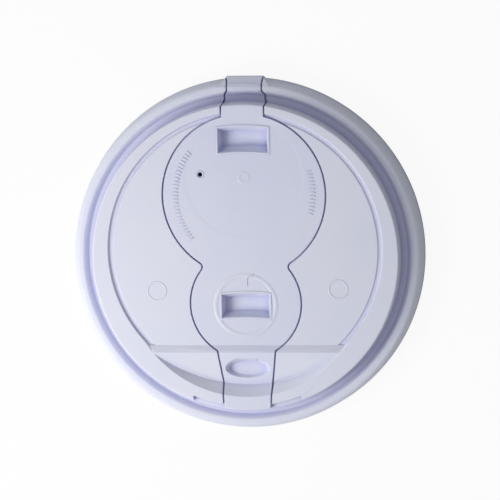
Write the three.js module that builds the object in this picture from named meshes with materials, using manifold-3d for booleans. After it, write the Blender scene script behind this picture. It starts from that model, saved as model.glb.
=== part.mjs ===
// A takeaway cup lid with a flip flap, in millimetres. Z is the lid's axis and up, the foot of the
// skirt stands on Z 0, the drinking hole is at -Y and the flap's hinge is at +Y.
import * as THREE from "three";
import { mergeVertices } from "three/addons/utils/BufferGeometryUtils.js";
import Module from "manifold-3d";

// Walls and clearances
const lidWall = 0.7;
const flapWall = 0.55;
const restGap = 0.3;
const sideGap = 0.4;
const hingeGap = 0.3;

// Rim, from the foot of the skirt to the channel inside the bead
const footRadius = 47.25;
const skirtSetback = 0.65;
const crownOuterRadius = footRadius - skirtSetback;
const crownWidth = 2.3;
const crownInnerRadius = crownOuterRadius - crownWidth;
const crownHeight = 8.0;
const crownOuterFillet = 1.3;
const crownInnerFillet = 0.8;
const beadInnerRun = 1.2;
const channelOuterRadius = crownInnerRadius - beadInnerRun;
const channelWidth = 1.55;
const channelInnerRadius = channelOuterRadius - channelWidth;
const channelDepth = 1.8;
const channelHeight = crownHeight - channelDepth;
const channelFillet = 0.3;
const snapRidgeHeight = 1.8;
const snapRidgeDepth = 0.35;
const snapRidgeSpread = 0.9;

// Raised top with its flat ledge
const domeSetback = 0.35;
const ledgeRadius = channelInnerRadius - domeSetback;
const domeRise = 6.6;
const ledgeHeight = channelHeight + domeRise;
const ledgeFillet = 0.35;

// Pan inside the ledge: a plateau with a groove round it, both set back towards the hinge
const ledgeSideWidth = 4.2;
const panRadius = ledgeRadius - ledgeSideWidth;
const panCentreY = 2.2;
const plateauDrop = 0.4; // below the ledge
const grooveDepth = 0.75; // below the ledge
const grooveOuterRun = 0.4;
const grooveFloorWidth = 0.7;
const grooveInnerRun = 0.3;
const grooveOuterRadius = panRadius - grooveOuterRun;
const grooveInnerRadius = grooveOuterRadius - grooveFloorWidth;
const plateauRadius = grooveInnerRadius - grooveInnerRun;
const strapRampRun = 3.0;

// Front of the pan: a low band up to a ridge, then the drinking deck down to the front wall
const bandWidth = 2.0;
const ridgeY = -25.6;
const bandRearY = ridgeY + bandWidth;
const ridgeDrop = 0.0; // below the ledge
const deckSlope = 0.335;
const frontLedgeWidth = 3.6;
const frontWallCentreY = -5.0;
const frontWallRadius = ledgeRadius - frontLedgeWidth + frontWallCentreY;
const frontWallRun = 1.0;

// Thumb notch in the front edge of the ledge
const notchHalfWidth = 14.6;
const notchReach = 1.2;
const notchRadius = ledgeRadius - notchReach;
const notchDepth = 1.3;

// Flap outline
const bigCircleRadius = 21.75;
const bigCircleY = 16.8;
const smallCircleRadius = 14.75;
const smallCircleY = -12.4;
const waistFillet = 1.5;
const kinkY = -25.0;
const tongueFootHalfWidth = 6.45;
const tongueFootY = -33.9;
const tongueEndHalfWidth = 6.05;
const tongueLipDepth = 0.9;
const strapLedgeHalfWidth = 5.6;
const strapChannelHalfWidth = 5.3;
const strapNeckHalfWidth = 4.5;
const strapEndHalfWidth = 5.0;

// Hinge platform on the back of the rim
const platformReach = 0.8;
const platformY = footRadius + platformReach;
const platformHalfWidth = 4.9;
const platformFlank = 2.0;
const platformFlankDepth = 2.45;
const platformInset = 0.4; // inside the crown's inner edge
const platformTopDrop = 1.7; // below the crown
const platformRearDrop = 1.9; // below the outer top edge
const platformFootDrop = 1.8; // below the rear face
const platformTopHeight = crownHeight - platformTopDrop;
const platformRearHeight = platformTopHeight - platformRearDrop;
const platformFootHeight = platformRearHeight - platformFootDrop;
const platformInnerY = crownInnerRadius - platformInset;
const hingeDrop = 0.7; // below the outer top edge
const hingeHeight = platformTopHeight - hingeDrop;

// Pockets: two stiffening tubs and the oval plug over the drinking hole
const rearTub = { y: 31.7, halfX: 6.65, halfY: 3.25, depth: 3.6, bow: 0.4, taperX: 0.69, taperY: 1.34 };
const middleTub = { y: -12.9, halfX: 6.4, halfY: 3.15, depth: 3.6, bow: 0.4, taperX: 0.69, taperY: 1.34 };
const tubCorner = 0.4;
const plug = { y: -30.3, halfX: 5.95, halfY: 2.85, depth: 2.0, taperX: 1.0, taperY: 1.0 };

// Vent hole through the flap and the lid
const ventX = -11.7;
const ventY = 22.4;
const ventRadius = 0.6;

// Fineness of the round surfaces
const turnSegments = 72;
const outlineStep = THREE.MathUtils.degToRad(6);
const filletStep = THREE.MathUtils.degToRad(46);
const ventSides = 12;
const beyond = 2.0; // how far a cutting shape runs past the surface it cuts

const wasm = await Module();
wasm.setup();

function solid(geometry) {
  const bare = geometry.clone();
  bare.deleteAttribute("normal");
  bare.deleteAttribute("uv");
  const merged = mergeVertices(bare, 1e-4);
  const corners = merged.index.array;
  const kept = [];
  for (let i = 0; i < corners.length; i += 3) {
    const [a, b, c] = corners.slice(i, i + 3);
    if (a !== b && b !== c && c !== a) {
      kept.push(a, b, c);
    }
  }
  return new wasm.Manifold(
    new wasm.Mesh({
      numProp: 3,
      vertProperties: merged.attributes.position.array,
      triVerts: new Uint32Array(kept),
    }),
  );
}

function direction(from, to) {
  const length = Math.hypot(to[0] - from[0], to[1] - from[1]);
  return [(to[0] - from[0]) / length, (to[1] - from[1]) / length];
}

// Moves a path of [x, y, fillet] corners to its left, with its fillets kept parallel.
function offsetPath(path, distance, closed = false) {
  const count = path.length;
  return path.map((corner, i) => {
    const before = closed ? path[(i + count - 1) % count] : path[i - 1];
    const after = closed ? path[(i + 1) % count] : path[i + 1];
    const into = before ? direction(before, corner) : direction(corner, after);
    const out = after ? direction(corner, after) : into;
    const turn = into[0] * out[1] - into[1] * out[0];
    const reach = distance / (1 + into[0] * out[0] + into[1] * out[1]);
    const fillet = corner[2] ? Math.max(0, corner[2] - Math.sign(turn) * distance) : 0;
    return [corner[0] - (into[1] + out[1]) * reach, corner[1] + (into[0] + out[0]) * reach, fillet];
  });
}

// Replaces each corner that has a fillet by points on its arc.
function roundPath(path, closed = false) {
  const count = path.length;
  return path.flatMap((corner, i) => {
    const before = closed ? path[(i + count - 1) % count] : path[i - 1];
    const after = closed ? path[(i + 1) % count] : path[i + 1];
    if (!corner[2] || !before || !after) {
      return [[corner[0], corner[1]]];
    }
    const into = direction(before, corner);
    const out = direction(corner, after);
    const turn = Math.atan2(into[0] * out[1] - into[1] * out[0], into[0] * out[0] + into[1] * out[1]);
    const room = 0.45 * Math.min(
      Math.hypot(corner[0] - before[0], corner[1] - before[1]),
      Math.hypot(after[0] - corner[0], after[1] - corner[1]),
    );
    const reach = Math.min(corner[2] * Math.tan(Math.abs(turn) / 2), room);
    const radius = (reach / Math.tan(Math.abs(turn) / 2)) * Math.sign(turn);
    const start = [corner[0] - into[0] * reach, corner[1] - into[1] * reach];
    const centre = [start[0] - into[1] * radius, start[1] + into[0] * radius];
    const steps = Math.max(1, Math.ceil(Math.abs(turn) / filletStep));
    return Array.from({ length: steps + 1 }, (_, step) => {
      const angle = (turn * step) / steps;
      const [x, y] = [start[0] - centre[0], start[1] - centre[1]];
      return [
        centre[0] + x * Math.cos(angle) - y * Math.sin(angle),
        centre[1] + x * Math.sin(angle) + y * Math.cos(angle),
      ];
    });
  });
}

function arc(centreX, centreY, radius, from, to) {
  const steps = Math.max(2, Math.ceil(Math.abs(to - from) / outlineStep));
  return Array.from({ length: steps + 1 }, (_, i) => {
    const angle = from + ((to - from) * i) / steps;
    return [centreX + radius * Math.cos(angle), centreY + radius * Math.sin(angle)];
  });
}

function toVectors(points) {
  return points.map(([x, y]) => new THREE.Vector2(x, y));
}

// A solid of revolution about the vertical line at Y = centreY, from [radius, z] points.
function turned(points, centreY = 0) {
  const geometry = new THREE.LatheGeometry(toVectors(points), turnSegments);
  geometry.rotateX(Math.PI / 2);
  geometry.translate(0, centreY, 0);
  return solid(geometry);
}

// A prism along X from [y, z] points.
function prismAcross(points, halfWidth) {
  const shape = new THREE.Shape(toVectors(points));
  const geometry = new THREE.ExtrudeGeometry(shape, { depth: 2 * halfWidth, bevelEnabled: false });
  geometry.translate(0, 0, -halfWidth);
  geometry.applyMatrix4(
    new THREE.Matrix4().makeBasis(
      new THREE.Vector3(0, 1, 0),
      new THREE.Vector3(0, 0, 1),
      new THREE.Vector3(1, 0, 0),
    ),
  );
  return solid(geometry);
}

// A prism along Z from [x, y] points.
function prismUp(points, low, high) {
  const shape = new THREE.Shape(toVectors(points));
  const geometry = new THREE.ExtrudeGeometry(shape, { depth: high - low, bevelEnabled: false });
  geometry.translate(0, 0, low);
  return solid(geometry);
}

function block(lowX, highX, lowY, highY, lowZ, highZ) {
  const geometry = new THREE.BoxGeometry(highX - lowX, highY - lowY, highZ - lowZ);
  geometry.translate((lowX + highX) / 2, (lowY + highY) / 2, (lowZ + highZ) / 2);
  return solid(geometry);
}

// A solid between two loops with the same number of points.
function loft(lowLoop, lowZ, highLoop, highZ) {
  const count = lowLoop.length;
  const positions = [
    ...lowLoop.flatMap(([x, y]) => [x, y, lowZ]),
    ...highLoop.flatMap(([x, y]) => [x, y, highZ]),
  ];
  const faces = THREE.ShapeUtils.triangulateShape(toVectors(highLoop), []);
  const index = faces.flatMap(([a, b, c]) => [a + count, b + count, c + count, c, b, a]);
  for (let i = 0; i < count; i += 1) {
    const next = (i + 1) % count;
    index.push(i, next, count + next, i, count + next, count + i);
  }
  const geometry = new THREE.BufferGeometry();
  geometry.setAttribute("position", new THREE.Float32BufferAttribute(positions, 3));
  geometry.setIndex(index);
  return solid(geometry);
}

// The turned body under the lid's top surface, drawn in by the inset on every side.
function turnedForm(inset) {
  const leanPerHeight = skirtSetback / crownHeight;
  const surface = [
    [footRadius + leanPerHeight * beyond, -beyond],
    [crownOuterRadius, crownHeight, crownOuterFillet],
    [crownInnerRadius, crownHeight, crownInnerFillet],
    [channelOuterRadius, channelHeight, channelFillet],
    [channelInnerRadius, channelHeight, channelFillet],
    [ledgeRadius, ledgeHeight, ledgeFillet],
    [0, ledgeHeight],
  ];
  const profile = roundPath(offsetPath(surface, inset));
  const low = profile[0][1];
  return turned([[0, low], ...profile]);
}

// The block behind the rim that carries the hinge line.
function platformForm(inset) {
  const side = [
    [platformInnerY, platformFootHeight],
    [crownOuterRadius, platformFootHeight],
    [platformY, platformRearHeight],
    [platformY, platformTopHeight],
    [(crownInnerRadius + crownOuterRadius) / 2, crownHeight],
    [platformInnerY, platformTopHeight],
  ];
  const footHalfWidth = platformHalfWidth + platformFlank;
  const flankY = platformY - platformFlankDepth;
  const plan = [
    [-footHalfWidth, channelOuterRadius],
    [footHalfWidth, channelOuterRadius],
    [footHalfWidth, flankY],
    [platformHalfWidth, platformY],
    [-platformHalfWidth, platformY],
    [-footHalfWidth, flankY],
  ];
  const across = prismAcross(offsetPath(side, inset, true), footHalfWidth);
  return across.intersect(prismUp(offsetPath(plan, inset, true), 0, ledgeHeight));
}

// What the pan takes out of the turned form. Under the flap it has no groove, and a ramp instead
// of the ledge's inner edge.
function panForm(inset, underFlap) {
  const top = ledgeHeight + beyond;
  const plateauHeight = ledgeHeight - plateauDrop;
  const ridgeHeight = ledgeHeight - ridgeDrop;
  const grooveFloor = ledgeHeight - grooveDepth;
  const floorLine = [
    [footRadius + beyond, plateauHeight],
    [bandRearY, plateauHeight],
    [ridgeY, ridgeHeight],
    [-footRadius, ridgeHeight - deckSlope * (footRadius + ridgeY)],
  ];
  const floor = offsetPath(floorLine, inset);
  const above = prismAcross(
    [...floor, [-footRadius, top], [footRadius + beyond, top]],
    footRadius,
  );
  const rimLine = underFlap
    ? [[0, plateauHeight], [panRadius - strapRampRun, plateauHeight], [panRadius, ledgeHeight]]
    : [[0, grooveFloor], [grooveOuterRadius, grooveFloor], [panRadius, ledgeHeight]];
  const rim = offsetPath([...rimLine, [panRadius, top]], -inset);
  const disc = turned([...rim, [0, top]], panCentreY);
  const rearOfRidge = block(-footRadius, footRadius, ridgeY, footRadius, 0, top);
  const wallProfile = offsetPath(
    [
      [frontWallRadius - ledgeHeight * frontWallRun, 0],
      [frontWallRadius + beyond * frontWallRun, top],
    ],
    -inset,
  );
  const front = turned(
    [[0, 0], ...wallProfile, [0, wallProfile[1][1]]],
    frontWallCentreY,
  );
  const pan = disc.intersect(rearOfRidge).add(front).intersect(above);
  if (underFlap) {
    return pan;
  }
  const grooveLoop = [
    [plateauRadius, plateauHeight],
    [grooveInnerRadius, grooveFloor],
    [grooveOuterRadius, grooveFloor],
    [panRadius, ledgeHeight],
    [panRadius, top],
    [plateauRadius, top],
  ];
  const ring = offsetPath(grooveLoop, -inset, true);
  const groove = turned([...ring, ring[0]], panCentreY);
  const rearOfBand = block(-footRadius, footRadius, bandRearY, footRadius, 0, top + beyond);
  return pan.add(groove.intersect(rearOfBand));
}

function form(inset, underFlap) {
  return turnedForm(inset).add(platformForm(inset)).subtract(panForm(inset, underFlap));
}

// The flap seen from above: the strap over the rim, two circles with a waist, and the tongue.
function flapOutline() {
  const bigStart = Math.acos(strapLedgeHalfWidth / bigCircleRadius);
  const between = bigCircleY - smallCircleY;
  const bigReach = bigCircleRadius + waistFillet;
  const smallReach = smallCircleRadius + waistFillet;
  const down = (bigReach ** 2 - smallReach ** 2 + between ** 2) / (2 * between);
  const waist = [Math.sqrt(bigReach ** 2 - down ** 2), bigCircleY - down];
  const bigEnd = Math.atan2(waist[1] - bigCircleY, waist[0]);
  const smallStart = Math.atan2(waist[1] - smallCircleY, waist[0]);
  const smallEnd = Math.asin((kinkY - smallCircleY) / smallCircleRadius);
  const right = [
    [strapEndHalfWidth, platformY + sideGap],
    [strapNeckHalfWidth, crownOuterRadius],
    [strapNeckHalfWidth, crownInnerRadius],
    [strapChannelHalfWidth, channelOuterRadius],
    [strapChannelHalfWidth, channelInnerRadius],
    [strapLedgeHalfWidth, ledgeRadius],
    ...arc(0, bigCircleY, bigCircleRadius, bigStart, bigEnd),
    ...arc(waist[0], waist[1], waistFillet, bigEnd + Math.PI, smallStart + Math.PI).slice(1),
    ...arc(0, smallCircleY, smallCircleRadius, smallStart, smallEnd).slice(1),
    [tongueFootHalfWidth, tongueFootY],
    [tongueEndHalfWidth, -ledgeRadius - beyond],
  ];
  const left = right.map(([x, y]) => [-x, y]).reverse();
  return [...right, ...left].reverse();
}

// The space of the flap, grown by a clearance. At the tongue's end and at the hinge it stops short.
function flapZone(grow, lipDepth, hingeEdge) {
  const outline = offsetPath(flapOutline(), -grow, true);
  const side = notchHalfWidth;
  const front = block(-side, side, -footRadius - beyond, beyond - notchRadius, 0, ledgeHeight - lipDepth);
  const back = block(-side, side, crownOuterRadius - beyond / 2, footRadius + beyond, 0, hingeEdge);
  return prismUp(outline, platformFootHeight, ledgeHeight + beyond / 2).subtract(front).subtract(back);
}

// A tub's loop at a share of its depth, as a rectangle whose long sides bow to the back.
function tubLoop(tub, share, grow) {
  const halfX = tub.halfX - tub.taperX * share;
  const halfY = tub.halfY - tub.taperY * share;
  const side = (edgeY) => [-1, -0.5, 0, 0.5, 1].map((step) => {
    const bowed = tub.y + edgeY + tub.bow * (0.5 - step ** 2);
    return [step * halfX, bowed, Math.abs(step) === 1 ? tubCorner : 0];
  });
  const loop = [...side(-halfY), ...side(halfY).reverse()];
  return roundPath(offsetPath(loop, -grow, true), true);
}

function ovalLoop(oval, share, grow) {
  const halfX = oval.halfX - oval.taperX * share + grow;
  const halfY = oval.halfY - oval.taperY * share + grow;
  return arc(0, 0, 1, 0, 2 * Math.PI).slice(0, -1).map(([x, y]) => [x * halfX, oval.y + y * halfY]);
}

function pocket(shape, loopAt, surfaceHeight, grow) {
  const floorHeight = surfaceHeight - shape.depth - grow;
  const topHeight = surfaceHeight + beyond / 2;
  const shareOf = (height) => (surfaceHeight - height) / (shape.depth + grow);
  return loft(
    loopAt(shape, 1, grow), floorHeight,
    loopAt(shape, shareOf(topHeight), grow), topHeight,
  );
}

function deckHeight(y) {
  return ledgeHeight - ridgeDrop - deckSlope * (ridgeY - y);
}

function pockets(grow) {
  const plateauHeight = ledgeHeight - plateauDrop;
  return pocket(rearTub, tubLoop, plateauHeight, grow).add(pocket(middleTub, tubLoop, plateauHeight, grow));
}

function plugForm(grow) {
  return pocket(plug, ovalLoop, deckHeight(plug.y), grow);
}

function ventHole() {
  const geometry = new THREE.CylinderGeometry(ventRadius, ventRadius, ledgeHeight, ventSides);
  geometry.rotateX(Math.PI / 2);
  geometry.translate(ventX, ventY, ledgeHeight);
  return solid(geometry);
}

// The thumb notch, grown by the lid's wall where it shapes the underside.
function thumbNotch(grow) {
  const floor = ledgeHeight - notchDepth - grow;
  const radius = notchRadius - grow;
  const halfWidth = notchHalfWidth + grow;
  const top = ledgeHeight + beyond;
  const ring = [[radius, floor], [footRadius, floor], [footRadius, top], [radius, top], [radius, floor]];
  return turned(ring).intersect(block(-halfWidth, halfWidth, -footRadius, 0, 0, top + beyond));
}

// The bead inside the skirt that snaps under the cup's rolled rim.
function snapRidge() {
  const outside = (height) => footRadius - (skirtSetback * height) / crownHeight;
  const low = snapRidgeHeight - snapRidgeSpread;
  const high = snapRidgeHeight + snapRidgeSpread;
  const ring = [
    [outside(low) - lidWall / 2, low],
    [outside(high) - lidWall / 2, high],
    [outside(snapRidgeHeight) - lidWall - snapRidgeDepth, snapRidgeHeight],
    [outside(low) - lidWall / 2, low],
  ];
  return turned(ring);
}

function makeLidShell() {
  const recess = flapWall + restGap;
  const zone = flapZone(sideGap, notchDepth, hingeHeight - hingeGap / 2);
  const underside = flapZone(sideGap + lidWall, notchDepth + lidWall, hingeHeight - hingeGap / 2 - lidWall);
  const skin = form(0, false).subtract(zone.subtract(form(recess, true)));
  const hollow = form(lidWall, false)
    .subtract(underside.subtract(form(recess + lidWall, true)))
    .subtract(thumbNotch(lidWall));
  const wide = footRadius + beyond;
  const below = block(-wide, wide, -wide, wide, -beyond * 2, 0);
  const wells = pockets(recess + lidWall).intersect(form(recess, true));
  return skin
    .subtract(hollow)
    .add(snapRidge())
    .add(wells)
    .subtract(pockets(recess))
    .subtract(plugForm(recess))
    .subtract(thumbNotch(0))
    .subtract(ventHole())
    .subtract(below);
}

function makeFlipFlap() {
  const zone = flapZone(0, tongueLipDepth, hingeHeight + hingeGap / 2);
  const surface = form(0, true);
  const sheet = surface.subtract(form(flapWall, true));
  const walls = pockets(flapWall).add(plugForm(flapWall)).intersect(surface);
  return sheet
    .intersect(zone)
    .add(walls)
    .subtract(pockets(0))
    .subtract(plugForm(0))
    .subtract(ventHole());
}

function named(name, shape, material) {
  const { vertProperties, triVerts } = shape.getMesh();
  const indexed = new THREE.BufferGeometry();
  indexed.setAttribute("position", new THREE.Float32BufferAttribute(vertProperties, 3));
  indexed.setIndex(Array.from(triVerts));
  const geometry = indexed.toNonIndexed();
  geometry.computeVertexNormals();
  const mesh = new THREE.Mesh(geometry, material);
  mesh.name = name;
  return mesh;
}

const lidPlastic = new THREE.MeshStandardMaterial({ color: 0xd6d9ea, roughness: 0.42, metalness: 0 });
const flapPlastic = new THREE.MeshStandardMaterial({ color: 0xd3d6ea, roughness: 0.4, metalness: 0 });

const group = new THREE.Group();
group.add(named("lid_shell", makeLidShell(), lidPlastic));
group.add(named("flip_flap", makeFlipFlap(), flapPlastic));

export default group;
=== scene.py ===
import math
import bmesh
import bpy
from mathutils import Matrix, Vector


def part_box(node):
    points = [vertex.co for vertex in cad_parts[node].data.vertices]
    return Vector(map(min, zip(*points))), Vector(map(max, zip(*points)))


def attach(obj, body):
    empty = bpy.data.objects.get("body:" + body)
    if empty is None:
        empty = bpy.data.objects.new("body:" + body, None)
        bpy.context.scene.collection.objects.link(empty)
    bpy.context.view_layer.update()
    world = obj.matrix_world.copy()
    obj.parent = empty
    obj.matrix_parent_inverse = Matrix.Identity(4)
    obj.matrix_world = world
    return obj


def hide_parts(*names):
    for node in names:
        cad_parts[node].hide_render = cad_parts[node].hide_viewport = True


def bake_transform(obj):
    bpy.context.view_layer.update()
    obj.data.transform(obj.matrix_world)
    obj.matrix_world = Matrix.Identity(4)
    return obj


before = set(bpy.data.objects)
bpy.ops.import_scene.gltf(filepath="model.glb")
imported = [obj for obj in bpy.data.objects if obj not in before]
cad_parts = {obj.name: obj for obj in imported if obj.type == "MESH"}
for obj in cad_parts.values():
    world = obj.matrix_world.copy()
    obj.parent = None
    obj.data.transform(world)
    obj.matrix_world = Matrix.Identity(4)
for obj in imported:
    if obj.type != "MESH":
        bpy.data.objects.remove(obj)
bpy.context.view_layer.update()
print("frame loaded:", ", ".join(sorted(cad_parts)))

metresPerMillimetre = 0.001  # the pieces are modelled in millimetres and scaled once at the end
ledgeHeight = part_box("lid_shell")[1].z / metresPerMillimetre
pastSurface = 2.0            # how far a cutting shape runs past what it cuts
fineness = {
    "weld": 0.0005, "onAxis": 1e-6, "turnSteps": 240, "bowSteps": 8,
    "filletDegrees": 12, "arcDegrees": 2.5, "waistDegrees": 15, "ovalDegrees": 5, "holeDegrees": 12,
}


# paths of [across, up, fillet] corners

def directionOf(start, end):
    length = math.hypot(end[0] - start[0], end[1] - start[1])
    return (end[0] - start[0]) / length, (end[1] - start[1]) / length


def neighbours(path, i, closed):
    before = path[i - 1] if closed or i > 0 else None
    after = path[(i + 1) % len(path)] if closed or i < len(path) - 1 else None
    return before, after


def offsetPath(path, distance, closed=False):
    moved = []
    for i, corner in enumerate(path):
        before, after = neighbours(path, i, closed)
        into = directionOf(before, corner) if before else directionOf(corner, after)
        out = directionOf(corner, after) if after else into
        turn = into[0] * out[1] - into[1] * out[0]
        reach = distance / (1 + into[0] * out[0] + into[1] * out[1])
        fillet = corner[2] if len(corner) > 2 else 0
        if fillet:
            fillet = max(0.0, fillet - math.copysign(distance, turn))
        moved.append([corner[0] - (into[1] + out[1]) * reach, corner[1] + (into[0] + out[0]) * reach, fillet])
    return moved


def arcPoints(centre, radius, start, end, stepDegrees=fineness["arcDegrees"]):
    steps = max(2, math.ceil(abs(end - start) / math.radians(stepDegrees)))
    angles = [start + (end - start) * i / steps for i in range(steps + 1)]
    return [[centre[0] + radius * math.cos(a), centre[1] + radius * math.sin(a)] for a in angles]


# closed solids from bmesh operators

def meshFrom(bm, name):
    mesh = bpy.data.meshes.new(name)
    bm.to_mesh(mesh)
    bm.free()
    return mesh


def placeObject(name, data):
    placed = bpy.data.objects.new(name, data)
    bpy.context.scene.collection.objects.link(placed)
    return placed


def dropSolid(solid):
    mesh = solid.data
    bpy.data.objects.remove(solid)
    bpy.data.meshes.remove(mesh)


def newSolid(name, bm):
    bmesh.ops.remove_doubles(bm, verts=bm.verts, dist=fineness["weld"])
    bmesh.ops.dissolve_degenerate(bm, edges=bm.edges, dist=fineness["weld"])
    bmesh.ops.recalc_face_normals(bm, faces=bm.faces)
    return placeObject(name, meshFrom(bm, name))


def sectionFace(bm, path, place):
    corners = [bm.verts.new(place(corner[0], corner[1])) for corner in path]
    bm.faces.new(corners)
    for i, corner in enumerate(path):  # each fillet is a bevel of its corner
        if len(corner) < 3 or not corner[2]:
            continue
        before, after = neighbours(path, i, True)
        into, out = directionOf(before, corner), directionOf(corner, after)
        cosine = max(-1.0, min(1.0, into[0] * out[0] + into[1] * out[1]))
        turn = math.acos(cosine)
        segments = max(2, math.ceil(math.degrees(turn) / fineness["filletDegrees"]))
        bmesh.ops.bevel(bm, geom=[corners[i]], offset=corner[2] * math.tan(turn / 2), segments=segments,
                        affect="VERTICES", profile=0.5, material=-1)


def turnedSolid(name, path, centreY=0.0):
    bm = bmesh.new()
    sectionFace(bm, path, lambda across, up: (across, centreY, up))
    bmesh.ops.delete(bm, geom=bm.faces[:], context="FACES_ONLY")
    onAxis = [e for e in bm.edges if all(abs(v.co.x) < fineness["onAxis"] for v in e.verts)]
    bmesh.ops.delete(bm, geom=onAxis, context="EDGES")
    bmesh.ops.spin(bm, geom=bm.verts[:] + bm.edges[:], cent=(0, centreY, 0), axis=(0, 0, 1),
                   angle=math.tau, steps=fineness["turnSteps"], use_merge=True)
    return newSolid(name, bm)


def thicken(bm, along):
    grown = bmesh.ops.extrude_face_region(bm, geom=bm.faces[:])
    bmesh.ops.translate(bm, verts=[g for g in grown["geom"] if isinstance(g, bmesh.types.BMVert)], vec=along)


def prismSolid(name, path, place, along):
    bm = bmesh.new()
    sectionFace(bm, path, place)
    thicken(bm, along)
    return newSolid(name, bm)


def prismAcross(name, path, halfWidth):
    return prismSolid(name, path, lambda y, z: (-halfWidth, y, z), (2 * halfWidth, 0, 0))


def prismUp(name, path, low, high):
    return prismSolid(name, path, lambda x, y: (x, y, low), (0, 0, high - low))


def blockSolid(name, low, high):
    return prismUp(name, [[low[0], low[1]], [high[0], low[1]], [high[0], high[1]], [low[0], high[1]]],
                   low[2], high[2])


def loftSolid(name, lowLoop, lowZ, highLoop, highZ):
    bm = bmesh.new()
    rings = []
    for loop, z in ((lowLoop, lowZ), (highLoop, highZ)):
        corners = [bm.verts.new((x, y, z)) for x, y in loop]
        bm.faces.new(corners)
        rings += [bm.edges.get((corners[i - 1], corners[i])) for i in range(len(corners))]
    bmesh.ops.bridge_loops(bm, edges=rings)
    return newSolid(name, bm)


def combine(first, second, operation):
    step = first.modifiers.new("step", "BOOLEAN")
    step.operation = operation
    step.solver = "MANIFOLD"
    step.object = second
    bpy.context.scene.view_layers[0].update()
    joined = bpy.data.meshes.new_from_object(first.evaluated_get(bpy.context.evaluated_depsgraph_get()))
    name = first.name
    dropSolid(first)
    dropSolid(second)
    return placeObject(name, joined)


def join(first, *others):
    for other in others:
        first = combine(first, other, "UNION")
    return first


def cut(first, *others):
    for other in others:
        first = combine(first, other, "DIFFERENCE")
    return first


def overlap(first, second):
    return combine(first, second, "INTERSECT")


# the lid's own shape, shared by the shell and the flap

rim = {
    "footRadius": 47.25, "crownOuterRadius": 46.6, "crownInnerRadius": 44.3, "crownHeight": 8.0,
    "crownOuterFillet": 1.3, "crownInnerFillet": 0.8,
    "channelOuterRadius": 43.1, "channelInnerRadius": 41.55, "channelHeight": 6.2, "channelFillet": 0.3,
}
ledge = {"radius": 41.2, "fillet": 0.35, "notchRadius": 40.0, "notchHalfWidth": 14.6, "notchDepth": 1.3}
pan = {
    "radius": 37.0, "centreY": 2.2, "plateauDrop": 0.4, "plateauRadius": 35.6,
    "grooveDepth": 0.75, "grooveOuterRadius": 36.6, "grooveInnerRadius": 35.9, "strapRampRadius": 34.0,
    "bandRearY": -23.6, "ridgeY": -25.6, "ridgeDrop": 0.0, "deckSlope": 0.335,
    "frontWallRadius": 32.6, "frontWallCentreY": -5.0, "frontWallRun": 1.0,
}
platform = {
    "y": 48.05, "halfWidth": 4.9, "flank": 2.0, "flankDepth": 2.45, "topDrop": 1.7,
    "rearHeight": 4.4, "footHeight": 2.6, "innerY": 43.9, "hingeHeight": 5.6, "hingeGap": 0.3,
}
walls = {"lid": 0.7, "flap": 0.55, "restGap": 0.3, "sideGap": 0.4}

plateauHeight = ledgeHeight - pan["plateauDrop"]
shellHingeEdge = platform["hingeHeight"] - platform["hingeGap"] / 2
flapHingeEdge = platform["hingeHeight"] + platform["hingeGap"] / 2
skirtLean = (rim["footRadius"] - rim["crownOuterRadius"]) / rim["crownHeight"]


def turnedForm(inset):
    surface = [
        [rim["footRadius"] + skirtLean * pastSurface, -pastSurface],
        [rim["crownOuterRadius"], rim["crownHeight"], rim["crownOuterFillet"]],
        [rim["crownInnerRadius"], rim["crownHeight"], rim["crownInnerFillet"]],
        [rim["channelOuterRadius"], rim["channelHeight"], rim["channelFillet"]],
        [rim["channelInnerRadius"], rim["channelHeight"], rim["channelFillet"]],
        [ledge["radius"], ledgeHeight, ledge["fillet"]],
        [0, ledgeHeight],
    ]
    profile = offsetPath(surface, inset)
    return turnedSolid("form", [[0, profile[0][1]]] + profile)


def platformForm(inset):
    side = [
        [platform["innerY"], platform["footHeight"]],
        [rim["crownOuterRadius"], platform["footHeight"]],
        [platform["y"], platform["rearHeight"]],
        [platform["y"], rim["crownHeight"] - platform["topDrop"]],
        [(rim["crownInnerRadius"] + rim["crownOuterRadius"]) / 2, rim["crownHeight"]],
        [platform["innerY"], rim["crownHeight"] - platform["topDrop"]],
    ]
    footHalfWidth = platform["halfWidth"] + platform["flank"]
    flankY = platform["y"] - platform["flankDepth"]
    plan = [
        [-footHalfWidth, rim["channelOuterRadius"]], [footHalfWidth, rim["channelOuterRadius"]],
        [footHalfWidth, flankY], [platform["halfWidth"], platform["y"]],
        [-platform["halfWidth"], platform["y"]], [-footHalfWidth, flankY],
    ]
    across = prismAcross("platform", offsetPath(side, inset, True), footHalfWidth)
    return overlap(across, prismUp("plan", offsetPath(plan, inset, True), 0, ledgeHeight))


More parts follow.
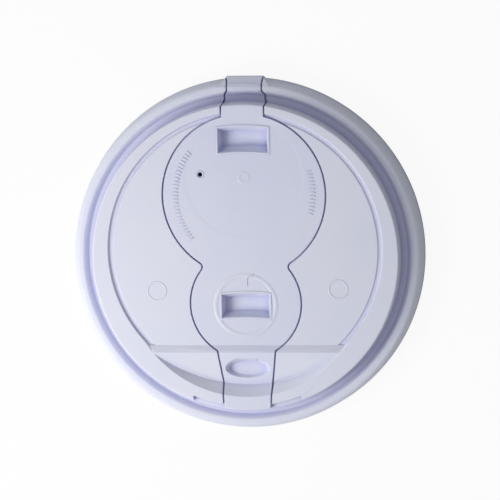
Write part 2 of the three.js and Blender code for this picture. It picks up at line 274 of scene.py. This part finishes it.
def panForm(inset, underFlap):
    top = ledgeHeight + pastSurface
    reach = rim["footRadius"]
    ridgeHeight = ledgeHeight - pan["ridgeDrop"]
    grooveFloor = ledgeHeight - pan["grooveDepth"]
    floor = offsetPath([
        [reach + pastSurface, plateauHeight],
        [pan["bandRearY"], plateauHeight],
        [pan["ridgeY"], ridgeHeight],
        [-reach, ridgeHeight - pan["deckSlope"] * (reach + pan["ridgeY"])],
    ], inset)
    above = prismAcross("above", floor + [[-reach, top], [reach + pastSurface, top]], reach)
    if underFlap:
        rimLine = [[0, plateauHeight], [pan["strapRampRadius"], plateauHeight], [pan["radius"], ledgeHeight]]
    else:
        rimLine = [[0, grooveFloor], [pan["grooveOuterRadius"], grooveFloor], [pan["radius"], ledgeHeight]]
    side = offsetPath(rimLine + [[pan["radius"], top]], -inset)
    disc = turnedSolid("disc", side + [[0, side[-1][1]]], pan["centreY"])
    disc = overlap(disc, blockSolid("rear", (-reach, pan["ridgeY"], 0), (reach, reach, top)))
    wall = offsetPath([
        [pan["frontWallRadius"] - ledgeHeight * pan["frontWallRun"], 0],
        [pan["frontWallRadius"] + pastSurface * pan["frontWallRun"], top],
    ], -inset)
    front = turnedSolid("front", [[0, wall[0][1]]] + wall + [[0, wall[1][1]]], pan["frontWallCentreY"])
    whole = overlap(join(disc, front), above)
    if underFlap:
        return whole
    ring = offsetPath([
        [pan["plateauRadius"], plateauHeight], [pan["grooveInnerRadius"], grooveFloor],
        [pan["grooveOuterRadius"], grooveFloor], [pan["radius"], ledgeHeight],
        [pan["radius"], top], [pan["plateauRadius"], top],
    ], -inset, True)
    groove = turnedSolid("groove", ring, pan["centreY"])
    behindBand = blockSolid("behind", (-reach, pan["bandRearY"], 0), (reach, reach, top + pastSurface))
    return join(whole, overlap(groove, behindBand))


def lidForm(inset, underFlap):
    return cut(join(turnedForm(inset), platformForm(inset)), panForm(inset, underFlap))


flap = {
    "bigRadius": 21.75, "bigY": 16.8, "smallRadius": 14.75, "smallY": -12.4, "waistFillet": 1.5,
    "kinkY": -25.0, "tongueFootHalfWidth": 6.45, "tongueFootY": -33.9, "tongueEndHalfWidth": 6.05,
    "lipDepth": 0.9, "ledgeHalfWidth": 5.6, "channelHalfWidth": 5.3, "neckHalfWidth": 4.5, "endHalfWidth": 5.0,
}


def flapOutline():
    bigReach = flap["bigRadius"] + flap["waistFillet"]
    smallReach = flap["smallRadius"] + flap["waistFillet"]
    between = flap["bigY"] - flap["smallY"]
    down = (bigReach ** 2 - smallReach ** 2 + between ** 2) / (2 * between)
    waist = (math.sqrt(bigReach ** 2 - down ** 2), flap["bigY"] - down)
    bigStart = math.acos(flap["ledgeHalfWidth"] / flap["bigRadius"])
    bigEnd = math.atan2(waist[1] - flap["bigY"], waist[0])
    smallStart = math.atan2(waist[1] - flap["smallY"], waist[0])
    smallEnd = math.asin((flap["kinkY"] - flap["smallY"]) / flap["smallRadius"])
    right = [
        [flap["endHalfWidth"], platform["y"] + walls["sideGap"]],
        [flap["neckHalfWidth"], rim["crownOuterRadius"]],
        [flap["neckHalfWidth"], rim["crownInnerRadius"]],
        [flap["channelHalfWidth"], rim["channelOuterRadius"]],
        [flap["channelHalfWidth"], rim["channelInnerRadius"]],
        [flap["ledgeHalfWidth"], ledge["radius"]],
    ]
    right += arcPoints((0, flap["bigY"]), flap["bigRadius"], bigStart, bigEnd)
    right += arcPoints(waist, flap["waistFillet"], bigEnd + math.pi, smallStart + math.pi, fineness["waistDegrees"])[1:]
    right += arcPoints((0, flap["smallY"]), flap["smallRadius"], smallStart, smallEnd)[1:]
    right += [
        [flap["tongueFootHalfWidth"], flap["tongueFootY"]],
        [flap["tongueEndHalfWidth"], -ledge["radius"] - pastSurface],
    ]
    left = [[-x, y] for x, y in reversed(right)]
    return list(reversed(right + left))


def flapZone(grow, lipDepth, hingeEdge):
    side = ledge["notchHalfWidth"]
    far = rim["footRadius"] + pastSurface
    zone = prismUp("zone", offsetPath(flapOutline(), -grow, True), platform["footHeight"],
                   ledgeHeight + pastSurface / 2)
    front = blockSolid("front", (-side, -far, 0), (side, pastSurface - ledge["notchRadius"], ledgeHeight - lipDepth))
    back = blockSolid("back", (-side, rim["crownOuterRadius"] - pastSurface / 2, 0), (side, far, hingeEdge))
    return cut(zone, front, back)


rearTub = {"y": 31.7, "halfX": 6.65, "halfY": 3.25, "depth": 3.6, "bow": 0.4, "taperX": 0.69, "taperY": 1.34}
middleTub = {"y": -12.9, "halfX": 6.4, "halfY": 3.15, "depth": 3.6, "bow": 0.4, "taperX": 0.69, "taperY": 1.34}
plug = {"y": -30.3, "halfX": 5.95, "halfY": 2.85, "depth": 2.0, "taperX": 1.0, "taperY": 1.0}
vent = {"x": -11.7, "y": 22.4, "radius": 0.6}


def tubLoop(tub, share, grow):
    halfX = tub["halfX"] - tub["taperX"] * share
    halfY = tub["halfY"] - tub["taperY"] * share
    steps = [i / fineness["bowSteps"] - 1 for i in range(2 * fineness["bowSteps"] + 1)]

    def side(edgeY):
        return [[s * halfX, tub["y"] + edgeY + tub["bow"] * (0.5 - s * s)] for s in steps]
    loop = side(-halfY) + side(halfY)[::-1]
    return [corner[:2] for corner in offsetPath(loop, -grow, True)]


def plugLoop(oval, share, grow):
    halfX = oval["halfX"] - oval["taperX"] * share + grow
    halfY = oval["halfY"] - oval["taperY"] * share + grow
    unit = arcPoints((0, 0), 1, 0, math.tau, fineness["ovalDegrees"])[:-1]
    return [[x * halfX, oval["y"] + y * halfY] for x, y in unit]


def pocketSolid(shape, loopAt, surfaceHeight, grow):
    floorHeight = surfaceHeight - shape["depth"] - grow
    topHeight = surfaceHeight + pastSurface / 2
    topShare = (surfaceHeight - topHeight) / (shape["depth"] + grow)
    return loftSolid("pocket", loopAt(shape, 1, grow), floorHeight, loopAt(shape, topShare, grow), topHeight)


def tubForms(grow):
    return [pocketSolid(tub, tubLoop, plateauHeight, grow) for tub in (rearTub, middleTub)]


def plugForm(grow):
    deckHeight = ledgeHeight - pan["ridgeDrop"] - pan["deckSlope"] * (pan["ridgeY"] - plug["y"])
    return pocketSolid(plug, plugLoop, deckHeight, grow)


def ventHole():
    loop = arcPoints((vent["x"], vent["y"]), vent["radius"], 0, math.tau, fineness["holeDegrees"])[:-1]
    return prismUp("vent", loop, ledgeHeight / 2, ledgeHeight + pastSurface)


def thumbNotch(grow):
    floor = ledgeHeight - ledge["notchDepth"] - grow
    inner = ledge["notchRadius"] - grow
    side = ledge["notchHalfWidth"] + grow
    top = ledgeHeight + pastSurface
    far = rim["footRadius"]
    ring = turnedSolid("notch", [[inner, floor], [far, floor], [far, top], [inner, top]])
    return overlap(ring, blockSolid("side", (-side, -far, 0), (side, 0, top + pastSurface)))


finish = {
    "weld": 0.002, "flatDegrees": 0.2, "sharpDegrees": 32, "narrowDegrees": 40, "levelReach": 0.02,
    "mostCorners": 12, "levelNormal": 0.99999, "shadeDegrees": 50, "shellRadius": 0.1, "flapRadius": 0.13,
}


def roundEdges(bm, edges, radius, **options):
    bmesh.ops.bevel(bm, geom=edges, offset=radius, segments=2, affect="EDGES", profile=0.5, material=-1, **options)


def meetsSharply(edge, others):  # two edges that part at a narrow angle leave no room for a bevel
    for corner in edge.verts:
        along = (edge.other_vert(corner).co - corner.co).normalized()
        for other in corner.link_edges:
            if other is not edge and other in others:
                away = (other.other_vert(corner).co - corner.co).normalized()
                if along.dot(away) > math.cos(math.radians(finish["narrowDegrees"])):
                    return True
    return False


def finishPiece(solid, name, edgeRadius):
    bm = bmesh.new()
    bm.from_mesh(solid.data)
    bmesh.ops.triangulate(bm, faces=bm.faces[:])  # a face with a hole in it doesn't survive the merge
    bmesh.ops.remove_doubles(bm, verts=bm.verts, dist=finish["weld"])
    bmesh.ops.dissolve_limit(bm, angle_limit=math.radians(finish["flatDegrees"]), verts=bm.verts, edges=bm.edges)
    sharp = [e for e in bm.edges
             if len(e.link_faces) == 2 and e.calc_face_angle() > math.radians(finish["sharpDegrees"])]
    sharpSet = set(sharp)
    roomy = [e for e in sharp if not meetsSharply(e, sharpSet)]
    roundEdges(bm, roomy, edgeRadius, clamp_overlap=False, loop_slide=True)
    for corner in bm.verts:  # the bevels leave the two flat levels exactly flat
        corner.co.z = min(corner.co.z, ledgeHeight)
        for level in (ledgeHeight, plateauHeight):
            if abs(corner.co.z - level) < finish["levelReach"]:
                corner.co.z = level
    bm.normal_update()
    for face in bm.faces:  # the wide flats keep their own normal, and the rest is shaded smoothly
        face.smooth = len(face.verts) <= finish["mostCorners"] and abs(face.normal.z) < finish["levelNormal"]
    bmesh.ops.scale(bm, vec=(metresPerMillimetre,) * 3, verts=bm.verts)
    old = solid.data
    solid.data = meshFrom(bm, name)
    bpy.data.meshes.remove(old)
    solid.name = name
    solid.data.set_sharp_from_angle(angle=math.radians(finish["shadeDegrees"]))
    solid.modifiers.new("weighted", "WEIGHTED_NORMAL").keep_sharp = True
    print(name, "has", len(solid.data.polygons), "faces")
    return solid


snapRidge = {"height": 1.8, "depth": 0.35, "spread": 0.9}


def makeShell():
    recess = walls["flap"] + walls["restGap"]
    zone = flapZone(walls["sideGap"], ledge["notchDepth"], shellHingeEdge)
    underside = flapZone(walls["sideGap"] + walls["lid"], ledge["notchDepth"] + walls["lid"],
                         shellHingeEdge - walls["lid"])
    skin = cut(lidForm(0, False), cut(zone, lidForm(recess, True)))
    hollow = cut(lidForm(walls["lid"], False), cut(underside, lidForm(recess + walls["lid"], True)),
                 thumbNotch(walls["lid"]))
    shell = cut(skin, hollow)
    middle, low, high = [snapRidge["height"] + share * snapRidge["spread"] for share in (0, -1, 1)]
    ridge = turnedSolid("ridge", [
        [rim["footRadius"] - skirtLean * low - walls["lid"] / 2, low],
        [rim["footRadius"] - skirtLean * high - walls["lid"] / 2, high],
        [rim["footRadius"] - skirtLean * middle - walls["lid"] - snapRidge["depth"], middle],
    ])
    wells = [overlap(well, lidForm(recess, True)) for well in tubForms(recess + walls["lid"])]
    shell = join(shell, ridge, *wells)
    shell = cut(shell, *tubForms(recess), plugForm(recess), thumbNotch(0), ventHole())
    wide = rim["footRadius"] + pastSurface
    return cut(shell, blockSolid("below", (-wide, -wide, -2 * pastSurface), (wide, wide, 0)))


def makeFlap():
    zone = flapZone(0, flap["lipDepth"], flapHingeEdge)
    sheet = overlap(cut(lidForm(0, True), lidForm(walls["flap"], True)), zone)
    tubs = [overlap(wall, lidForm(0, True)) for wall in tubForms(walls["flap"]) + [plugForm(walls["flap"])]]
    return cut(join(sheet, *tubs), *tubForms(0), plugForm(0), ventHole())


shell = finishPiece(makeShell(), "lid_shell_moulding", finish["shellRadius"])
flapPiece = finishPiece(makeFlap(), "flip_flap_moulding", finish["flapRadius"])
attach(shell, "lid")
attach(flapPiece, "flap")
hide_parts("lid_shell")
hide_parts("flip_flap")


# fine raised marks on the plateau, each a small body sunk into the plate

raised = {
    "rise": 0.14, "sink": 0.2, "round": 0.06, "crestParts": 6,
    "stepLength": 0.5, "leastRadius": 3, "leastSteps": 6,
    "lipWidth": 0.45, "lipGrow": 0.12, "openingRun": 1, "lipDegrees": 60, "lipTopReach": 0.01,
    "ringRadius": 8.1, "ringWidth": 1.3, "ringRise": 0.09,
    "ventRingRadius": 0.95, "ventRingWidth": 0.35,
    "gateY": 21.5, "gateRadius": 1.3, "gateWidth": 1.0, "gateRise": 0.05,
}
ticks = {"length": 1.5, "width": 0.34, "radius": 18.5, "spacing": 3.0, "spans": [(142, 219), (-16, 20)]}
seats = {"radius": 2.5, "width": 0.5, "rise": 0.1, "places": [(-24.0, -9.0), (24.9, -8.6)]}
arrow = {
    "x": 0.4, "footY": -7.7, "bendY": -6.0, "bend": 1.1, "width": 0.32, "endDegrees": 62,
    "headLength": 0.75, "headDegrees": (28, 118),
}


def bandSection(width, rise):
    foot, crest = width / 2, width / raised["crestParts"]
    return [[-foot, -raised["sink"]], [foot, -raised["sink"]], [foot, 0],
            [crest, rise, raised["round"]], [-crest, rise, raised["round"]], [-foot, 0]]


def turnPart(part, degrees):
    bmesh.ops.rotate(part, verts=part.verts, cent=(0, 0, 0), matrix=Matrix.Rotation(math.radians(degrees), 3, "Z"))


def addPart(bm, part):
    bmesh.ops.remove_doubles(part, verts=part.verts, dist=fineness["weld"])
    bmesh.ops.recalc_face_normals(part, faces=part.faces)
    mesh = meshFrom(part, "part")
    bm.from_mesh(mesh)
    bpy.data.meshes.remove(mesh)


def addBand(bm, centre, radius, width, rise, startDegrees=0, endDegrees=360):
    part = bmesh.new()
    sectionFace(part, bandSection(width, rise), lambda across, up: (radius + across, 0, plateauHeight + up))
    whole = endDegrees - startDegrees >= 360
    if whole:
        bmesh.ops.delete(part, geom=part.faces[:], context="FACES_ONLY")
    sweep = math.radians(endDegrees - startDegrees)
    arcLength = sweep * max(radius, raised["leastRadius"])
    steps = max(raised["leastSteps"], math.ceil(arcLength / raised["stepLength"]))
    bmesh.ops.spin(part, geom=part.verts[:] + part.edges[:] + part.faces[:], cent=(0, 0, 0), axis=(0, 0, 1),
                   angle=sweep, steps=steps, use_merge=whole)
    turnPart(part, startDegrees)
    bmesh.ops.translate(part, verts=part.verts, vec=(centre[0], centre[1], 0))
    addPart(bm, part)


def addBar(bm, middle, length, width, turnDegrees):
    part = bmesh.new()
    bmesh.ops.create_cube(part, size=1)
    bmesh.ops.scale(part, vec=(length, width, raised["rise"] + raised["sink"]), verts=part.verts)
    roundEdges(part, part.edges[:], raised["round"])
    turnPart(part, turnDegrees)
    height = plateauHeight + (raised["rise"] - raised["sink"]) / 2
    bmesh.ops.translate(part, verts=part.verts, vec=(middle[0], middle[1], height))
    addPart(bm, part)


def addLip(bm, tub):
    low, high = plateauHeight - raised["sink"], plateauHeight + raised["rise"]
    run = raised["openingRun"]
    outer = prismUp("lip", tubLoop(tub, 0, raised["lipGrow"] + raised["lipWidth"]), low, high)
    lip = cut(outer, prismUp("opening", tubLoop(tub, 0, raised["lipGrow"]), low - run, high + run))
    part = bmesh.new()
    part.from_mesh(lip.data)
    bmesh.ops.triangulate(part, faces=part.faces[:])
    edges = [e for e in part.edges if e.calc_face_angle() > math.radians(raised["lipDegrees"])
             and min(v.co.z for v in e.verts) > high - raised["lipTopReach"]]
    roundEdges(part, edges, raised["round"])
    dropSolid(lip)
    addPart(bm, part)


def addArrow(bm):
    stemLength = arrow["bendY"] - arrow["footY"]
    addBar(bm, (arrow["x"], (arrow["footY"] + arrow["bendY"]) / 2), stemLength, arrow["width"], 90)
    centre = (arrow["x"] + arrow["bend"], arrow["bendY"])
    addBand(bm, centre, arrow["bend"], arrow["width"], raised["rise"], arrow["endDegrees"], 180)
    end = math.radians(arrow["endDegrees"])
    tip = (centre[0] + arrow["bend"] * math.cos(end), centre[1] + arrow["bend"] * math.sin(end))
    reach = arrow["headLength"] / 2
    for lean in arrow["headDegrees"]:  # two short strokes that meet at the tip
        degrees = arrow["endDegrees"] + lean
        middle = (tip[0] + reach * math.cos(math.radians(degrees)), tip[1] + reach * math.sin(math.radians(degrees)))
        addBar(bm, middle, arrow["headLength"], arrow["width"], degrees)


def addTicks(bm, span):
    count = round((span[1] - span[0]) / ticks["spacing"])
    for i in range(count + 1):
        degrees = span[0] + (span[1] - span[0]) * i / count
        angle = math.radians(degrees)
        middle = (ticks["radius"] * math.cos(angle), flap["bigY"] + ticks["radius"] * math.sin(angle))
        addBar(bm, middle, ticks["length"], ticks["width"], degrees)


def finishThinPiece(bm, name):
    bmesh.ops.scale(bm, vec=(metresPerMillimetre,) * 3, verts=bm.verts)
    mesh = meshFrom(bm, name)
    mesh.shade_smooth()
    mesh.set_sharp_from_angle(angle=math.radians(finish["shadeDegrees"]))
    return placeObject(name, mesh)


flapMarksMesh = bmesh.new()
for tub in (rearTub, middleTub):
    addLip(flapMarksMesh, tub)
addBand(flapMarksMesh, (0, middleTub["y"]), raised["ringRadius"], raised["ringWidth"], raised["ringRise"])
addBand(flapMarksMesh, (vent["x"], vent["y"]), raised["ventRingRadius"], raised["ventRingWidth"], raised["rise"])
addBand(flapMarksMesh, (0, raised["gateY"]), raised["gateRadius"], raised["gateWidth"], raised["gateRise"])
addArrow(flapMarksMesh)
for span in ticks["spans"]:
    addTicks(flapMarksMesh, span)
flapMarks = finishThinPiece(flapMarksMesh, "flap_raised_marks")

lidMarksMesh = bmesh.new()
for place in seats["places"]:
    addBand(lidMarksMesh, place, seats["radius"], seats["width"], seats["rise"])
lidMarks = finishThinPiece(lidMarksMesh, "lid_raised_marks")

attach(flapMarks, "flap")
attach(lidMarks, "lid")
print("raised marks made")

# thin web of the living hinge

web = {"halfWidth": 4.3, "y": 47.82, "thickness": 0.16, "low": 5.15, "high": 6.05, "columns": 6, "rows": 24}


def makeWeb():
    bm = bmesh.new()
    bmesh.ops.create_grid(bm, x_segments=web["columns"], y_segments=web["rows"], size=0.5)  # one unit across
    bmesh.ops.scale(bm, vec=(2 * web["halfWidth"], web["high"] - web["low"], 1), verts=bm.verts)
    bmesh.ops.rotate(bm, verts=bm.verts, cent=(0, 0, 0), matrix=Matrix.Rotation(math.pi / 2, 3, "X"))
    bmesh.ops.translate(bm, verts=bm.verts, vec=(0, web["y"], (web["low"] + web["high"]) / 2))
    thicken(bm, (0, web["thickness"], 0))
    bmesh.ops.recalc_face_normals(bm, faces=bm.faces)
    return finishThinPiece(bm, "hinge_web")


hingeWeb = makeWeb()
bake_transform(hingeWeb)
print("hinge web made")

# shader nodes, each helper giving the output of the node that it adds


def feed(links, socket, value):  # another node's output, or a plain value
    if isinstance(value, bpy.types.NodeSocket):
        links.new(value, socket)
    else:
        socket.default_value = value


def addMath(nodes, links, operation, *values):
    node = nodes.new("ShaderNodeMath")
    node.operation = operation
    for socket, value in zip(node.inputs, values):
        feed(links, socket, value)
    return node.outputs[0]


def addMix(nodes, links, share, first, second, blend="MIX"):
    node = nodes.new("ShaderNodeMix")
    node.data_type = "RGBA"
    node.blend_type = blend
    links.new(share, node.inputs["Factor"])
    links.new(first, node.inputs["A"])
    links.new(second, node.inputs["B"])
    return node.outputs["Result"]


def addNoise(nodes, links, place, scale, detail):
    node = nodes.new("ShaderNodeTexNoise")
    node.inputs["Detail"].default_value = detail
    feed(links, node.inputs["Scale"], scale)
    links.new(place, node.inputs["Vector"])
    return node.outputs["Fac"]


def addRange(nodes, links, value, fromMin, fromMax, toMin=0, toMax=1):
    node = nodes.new("ShaderNodeMapRange")
    for label, number in (("From Min", fromMin), ("From Max", fromMax), ("To Min", toMin), ("To Max", toMax)):
        node.inputs[label].default_value = number
    links.new(value, node.inputs["Value"])
    return node.outputs["Result"]


def addLength(nodes, links, vector):
    node = nodes.new("ShaderNodeVectorMath")
    node.operation = "LENGTH"
    links.new(vector, node.inputs[0])
    return node.outputs["Value"]


# the moulded plastic, with painted shade in its crevices and on the chord band

texture = {
    "cloudScale": 55, "cloudDetail": 3, "cloudLow": 0.35, "cloudHigh": 0.65, "paintedShadeSamples": 8,
    "patchScale": 260, "patchDetail": 4, "patchMiddle": 0.5, "grainDetail": 2,
}


def makeMouldedSurface():
    group = bpy.data.node_groups.new("moulded surface", "ShaderNodeTree")
    sockets = {
        "INPUT": {
            "Colour": "Color", "Cloud Colour": "Color", "Painted Crevice Shade": "Color", "Painted Shade Reach": "Float",
            "Painted Shade Depth": "Float", "Band Painted Shade": "Color", "Roughness": "Float", "Roughness Spread": "Float",
            "Grain Scale": "Float", "Grain Height": "Float",
        },
        "OUTPUT": {"Colour": "Color", "Roughness": "Float", "Height": "Float"},
    }
    for direction, kinds in sockets.items():
        for label, kind in kinds.items():
            group.interface.new_socket(name=label, in_out=direction, socket_type="NodeSocket" + kind)
    nodes, links = group.nodes, group.links
    given = nodes.new("NodeGroupInput").outputs
    result = nodes.new("NodeGroupOutput").inputs
    place = nodes.new("ShaderNodeTexCoord").outputs["Object"]

    clouds = addNoise(nodes, links, place, texture["cloudScale"], texture["cloudDetail"])
    cloudMask = addRange(nodes, links, clouds, texture["cloudLow"], texture["cloudHigh"])
    clouded = addMix(nodes, links, cloudMask, given["Colour"], given["Cloud Colour"])

    # painted shade: the colour is pulled toward a dark lavender wherever ambient occlusion finds the surface hemmed in,
    # standing in for the shade in crevices, recesses and the gaps between the flap and the lid
    hollow = nodes.new("ShaderNodeAmbientOcclusion")
    hollow.samples = texture["paintedShadeSamples"]
    links.new(given["Painted Shade Reach"], hollow.inputs["Distance"])
    occludedShare = addMath(nodes, links, "SUBTRACT", 1.0, hollow.outputs["AO"])
    crevicePaintedShade = addMath(nodes, links, "MULTIPLY", occludedShare, given["Painted Shade Depth"])
    crevicePaintedShade.node.use_clamp = True
    shadePainted = addMix(nodes, links, crevicePaintedShade, clouded, given["Painted Crevice Shade"])

    # painted shade: the chord band between the ridge and the plateau is multiplied darker, standing in for the shade on
    # its slope, which faces away from the key light
    bandEdges = [y * metresPerMillimetre for y in (pan["ridgeY"], pan["bandRearY"])]
    halfChords = [math.sqrt(pan["radius"] ** 2 - (pan["centreY"] - y) ** 2) * metresPerMillimetre
                  for y in (pan["ridgeY"], pan["bandRearY"])]
    apart = nodes.new("ShaderNodeSeparateXYZ")
    links.new(place, apart.inputs["Vector"])
    lengthwise = apart.outputs["Y"]
    behindRidge = addMath(nodes, links, "GREATER_THAN", lengthwise, bandEdges[0])
    beforePlateau = addMath(nodes, links, "LESS_THAN", lengthwise, bandEdges[1])
    chord = addRange(nodes, links, lengthwise, *bandEdges, *halfChords)
    sideways = addMath(nodes, links, "ABSOLUTE", apart.outputs["X"])
    insidePan = addMath(nodes, links, "LESS_THAN", sideways, chord)
    across = addMath(nodes, links, "MULTIPLY", behindRidge, beforePlateau)
    paintedBandMask = addMath(nodes, links, "MULTIPLY", across, insidePan)
    bandShadePainted = addMix(nodes, links, paintedBandMask, shadePainted, given["Band Painted Shade"], "MULTIPLY")
    links.new(bandShadePainted, result["Colour"])

    patches = addNoise(nodes, links, place, texture["patchScale"], texture["patchDetail"])
    centred = addMath(nodes, links, "SUBTRACT", patches, texture["patchMiddle"])
    rough = addMath(nodes, links, "MULTIPLY_ADD", centred, given["Roughness Spread"], given["Roughness"])
    links.new(rough, result["Roughness"])

    grain = addNoise(nodes, links, place, given["Grain Scale"], texture["grainDetail"])
    height = addMath(nodes, links, "MULTIPLY", grain, given["Grain Height"])
    links.new(height, result["Height"])
    return group


mouldedSurface = makeMouldedSurface()

# the crevice and band entries below set painted shade, not colours of the plastic
lidPlastic = {
    "Colour": (0.76, 0.775, 0.875, 1), "Cloud Colour": (0.735, 0.76, 0.875, 1),
    "Painted Crevice Shade": (0.33, 0.33, 0.66, 1), "Painted Shade Reach": 0.0024, "Painted Shade Depth": 0.8,
    "Band Painted Shade": (0.86, 0.86, 0.87, 1), "Roughness": 0.42, "Roughness Spread": 0.12,
    "Grain Scale": 1500.0, "Grain Height": 0.000006,
}
flapPlastic = {
    "Colour": (0.735, 0.755, 0.88, 1), "Cloud Colour": (0.70, 0.735, 0.88, 1),
    "Painted Crevice Shade": (0.33, 0.33, 0.66, 1), "Painted Shade Reach": 0.0024, "Painted Shade Depth": 0.8,
    "Band Painted Shade": (0.86, 0.86, 0.87, 1), "Roughness": 0.38, "Roughness Spread": 0.12,
    "Grain Scale": 1300.0, "Grain Height": 0.000005,
}
bothPlastics = {
    "IOR": 1.49, "Subsurface Weight": 0.12, "Subsurface Radius": (0.7, 0.7, 1.0), "Subsurface Scale": 0.0012,
}
flowRing = {"x": 0.0, "y": 0.0215, "inner": 0.0152, "outer": 0.0166, "step": 0.00004}


def makePlastic(name, values):
    material = bpy.data.materials.new(name)
    material.use_nodes = True
    nodes, links = material.node_tree.nodes, material.node_tree.links
    shader = nodes["Principled BSDF"]
    surface = nodes.new("ShaderNodeGroup")
    surface.node_tree = mouldedSurface
    for label, value in values.items():
        surface.inputs[label].default_value = value
    bump = nodes.new("ShaderNodeBump")
    bump.inputs["Strength"].default_value = 1.0
    bump.inputs["Distance"].default_value = 1.0
    links.new(surface.outputs["Colour"], shader.inputs["Base Color"])
    links.new(surface.outputs["Roughness"], shader.inputs["Roughness"])
    links.new(surface.outputs["Height"], bump.inputs["Height"])
    links.new(bump.outputs["Normal"], shader.inputs["Normal"])
    for label, value in bothPlastics.items():
        shader.inputs[label].default_value = value
    return material


# a faint step round the gate, where the flap's plastic met as it filled the mould
def addFlowRing(material):
    nodes, links = material.node_tree.nodes, material.node_tree.links
    bumpHeight = nodes["Bump"].inputs["Height"]
    centred = nodes.new("ShaderNodeMapping")
    centred.inputs["Location"].default_value = (-flowRing["x"], -flowRing["y"], 0)
    centred.inputs["Scale"].default_value = (1, 1, 0)
    links.new(nodes.new("ShaderNodeTexCoord").outputs["Object"], centred.inputs["Vector"])
    away = addLength(nodes, links, centred.outputs["Vector"])
    step = addRange(nodes, links, away, flowRing["inner"], flowRing["outer"], toMax=flowRing["step"])
    step.node.interpolation_type = "SMOOTHSTEP"
    links.new(addMath(nodes, links, "ADD", step, bumpHeight.links[0].from_socket), bumpHeight)


lidMaterial = makePlastic("lid plastic", lidPlastic)
flapMaterial = makePlastic("flap plastic", flapPlastic)
addFlowRing(flapMaterial)
for piece, material in ((shell, lidMaterial), (lidMarks, lidMaterial), (flapPiece, flapMaterial),
                        (flapMarks, flapMaterial), (hingeWeb, flapMaterial)):
    piece.data.materials.append(material)
print("plastic made")

# floor, light, sky and camera

studio = {
    "floorHalf": 3.0, "floorShade": 0.86, "floorRoughness": 0.9, "floorWhite": 0.92,
    "underLid": 0.044, "underLidEdge": 0.001,
    "cameraTilt": 10.65, "cameraAzimuth": 45.8, "roll": -1.1, "distance": 1.5, "frameWidth": 0.13346,
    "sensorWidth": 36, "aim": (0.00144, 0.00213),
    "worldColour": (0.93, 0.94, 1.0, 1), "worldStrength": 0.43, "worldSide": (-0.9, -0.36, 0.25),
    "worldContrast": 0.72,
}
keyLamp = {"power": 0.43, "size": 0.12, "azimuth": 206, "elevation": 47, "distance": 0.28, "colour": (1.0, 0.985, 0.96)}


def whitened(nodes, links, surface, share):  # shown whiter than it lights, as a cut-out product photograph is
    path = nodes.new("ShaderNodeLightPath")
    mixed = nodes.new("ShaderNodeMixShader")
    links.new(addMath(nodes, links, "MULTIPLY", path.outputs["Is Camera Ray"], share), mixed.inputs[0])
    links.new(surface, mixed.inputs[1])
    links.new(nodes.new("ShaderNodeEmission").outputs[0], mixed.inputs[2])
    return mixed.outputs[0]


def makeFloor():
    bm = bmesh.new()
    bmesh.ops.create_grid(bm, x_segments=1, y_segments=1, size=studio["floorHalf"])
    mesh = meshFrom(bm, "floor")
    paint = bpy.data.materials.new("floor paint")
    paint.use_nodes = True
    nodes, links = paint.node_tree.nodes, paint.node_tree.links
    shader = nodes["Principled BSDF"]
    shader.inputs["Base Color"].default_value = (studio["floorShade"],) * 3 + (1,)
    shader.inputs["Roughness"].default_value = studio["floorRoughness"]
    away = addLength(nodes, links, nodes.new("ShaderNodeTexCoord").outputs["Object"])
    outside = addRange(nodes, links, away, studio["underLid"], studio["underLid"] + studio["underLidEdge"],
                       toMax=studio["floorWhite"])
    shown = whitened(nodes, links, shader.outputs[0], outside)
    links.new(shown, nodes["Material Output"].inputs["Surface"])
    mesh.materials.append(paint)
    placeObject("floor", mesh)


def makeLamp(name, lamp):
    data = bpy.data.lights.new(name, "AREA")
    data.energy = lamp["power"]
    data.size = lamp["size"]
    data.color = lamp["colour"]
    azimuth, elevation = math.radians(lamp["azimuth"]), math.radians(lamp["elevation"])
    towards = Vector((math.cos(elevation) * math.cos(azimuth), math.cos(elevation) * math.sin(azimuth),
                      math.sin(elevation)))
    light = placeObject(name, data)
    light.location = towards * lamp["distance"]
    light.rotation_euler = (-towards).to_track_quat("-Z", "Y").to_euler()


def makeSky():
    world = bpy.data.worlds.new("studio")
    world.use_nodes = True
    nodes, links = world.node_tree.nodes, world.node_tree.links
    sky = nodes["Background"]
    sky.inputs["Color"].default_value = studio["worldColour"]
    facing = nodes.new("ShaderNodeVectorMath")
    facing.operation = "DOT_PRODUCT"
    facing.inputs[1].default_value = Vector(studio["worldSide"]).normalized()
    links.new(nodes.new("ShaderNodeTexCoord").outputs["Generated"], facing.inputs[0])
    brightness = addRange(nodes, links, facing.outputs["Value"], -1, 1,  # brighter on the key's side
                          studio["worldStrength"] * (1 - studio["worldContrast"]),
                          studio["worldStrength"] * (1 + studio["worldContrast"]))
    links.new(brightness, sky.inputs["Strength"])
    links.new(whitened(nodes, links, sky.outputs[0], 1.0), nodes["World Output"].inputs["Surface"])
    bpy.context.scene.world = world


def makeCamera():
    tilt = math.radians(studio["cameraTilt"])
    azimuth = math.radians(studio["cameraAzimuth"])
    roll = math.radians(studio["roll"])
    target = Vector((studio["aim"][0], studio["aim"][1], ledgeHeight * metresPerMillimetre))
    towards = Vector((math.sin(tilt) * math.cos(azimuth), math.sin(tilt) * math.sin(azimuth), math.cos(tilt)))
    upHint = Vector((-math.sin(roll), math.cos(roll), 0))
    right = (-towards).cross(upHint).normalized()
    up = right.cross(-towards).normalized()
    data = bpy.data.cameras.new("camera")
    data.sensor_width = studio["sensorWidth"]
    data.lens = data.sensor_width * studio["distance"] / studio["frameWidth"]
    camera = placeObject("camera", data)
    camera.matrix_world = Matrix((right, up, towards)).transposed().to_4x4()
    camera.location = target + towards * studio["distance"]
    bpy.context.scene.camera = camera


makeFloor()
makeLamp("key", keyLamp)
makeSky()
makeCamera()
bpy.context.scene.view_settings.view_transform = "Standard"
print("studio made")
